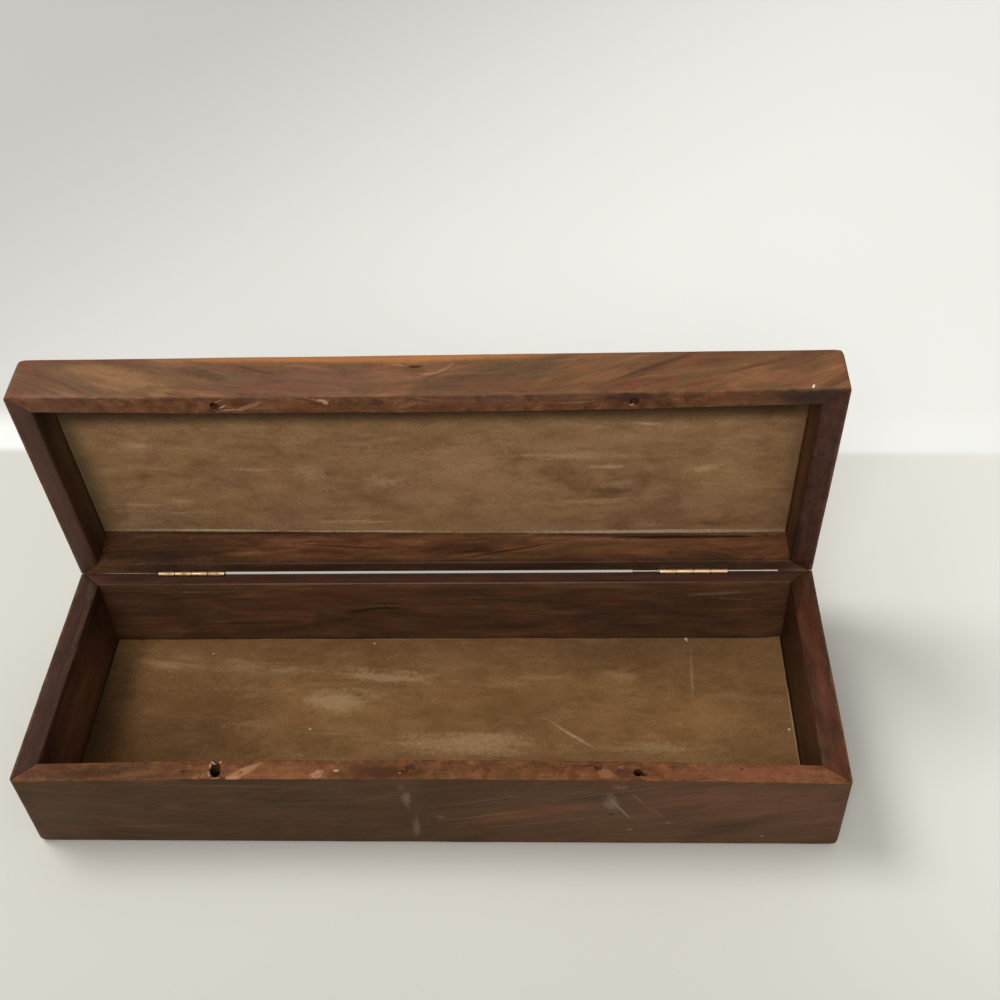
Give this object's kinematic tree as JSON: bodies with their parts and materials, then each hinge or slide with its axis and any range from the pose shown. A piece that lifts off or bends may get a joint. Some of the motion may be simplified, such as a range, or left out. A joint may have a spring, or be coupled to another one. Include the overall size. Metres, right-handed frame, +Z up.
{
  "type": "domino box",
  "caption": "Long low wooden box with mitred corners and a suede lining, whose shallow lid opens on two brass hinges to stand upright.",
  "frame": {"origin": "middle of the underside of the box", "axes": "+X along the box to its right end as seen from the front, +Y from the front to the hinged rear edge, +Z up"},
  "size_m": [0.22, 0.0892, 0.1045],
  "materials": {
    "rosewood": "old waxed finish, satin, worn at the edges",
    "suede": "brushed brown suede",
    "brass": "dulled, rubbed bright on the knuckles"
  },
  "bodies": {
    "base": {"base_front": "rosewood", "base_back": "rosewood", "base_left_end": "rosewood", "base_right_end": "rosewood", "base_bottom_panel": "rosewood", "base_lining": "suede", "left_hinge_base_leaf": "brass", "left_hinge_base_nails": "brass", "left_hinge_pin": "brass", "right_hinge_base_leaf": "brass", "right_hinge_base_nails": "brass", "right_hinge_pin": "brass"},
    "lid": {"lid_front": "rosewood", "lid_back": "rosewood", "lid_left_end": "rosewood", "lid_right_end": "rosewood", "lid_top_panel": "rosewood", "lid_lining": "suede", "left_hinge_lid_leaf": "brass", "left_hinge_lid_nails": "brass", "right_hinge_lid_leaf": "brass", "right_hinge_lid_nails": "brass"}
  },
  "joints": [
    {"name": "lid_hinge", "type": "hinge", "parent": "base", "child": "lid", "pos_m": [0, 0.0363, 0.03], "axis": [1, 0, 0], "range_deg": [0, 86]}
  ]
}
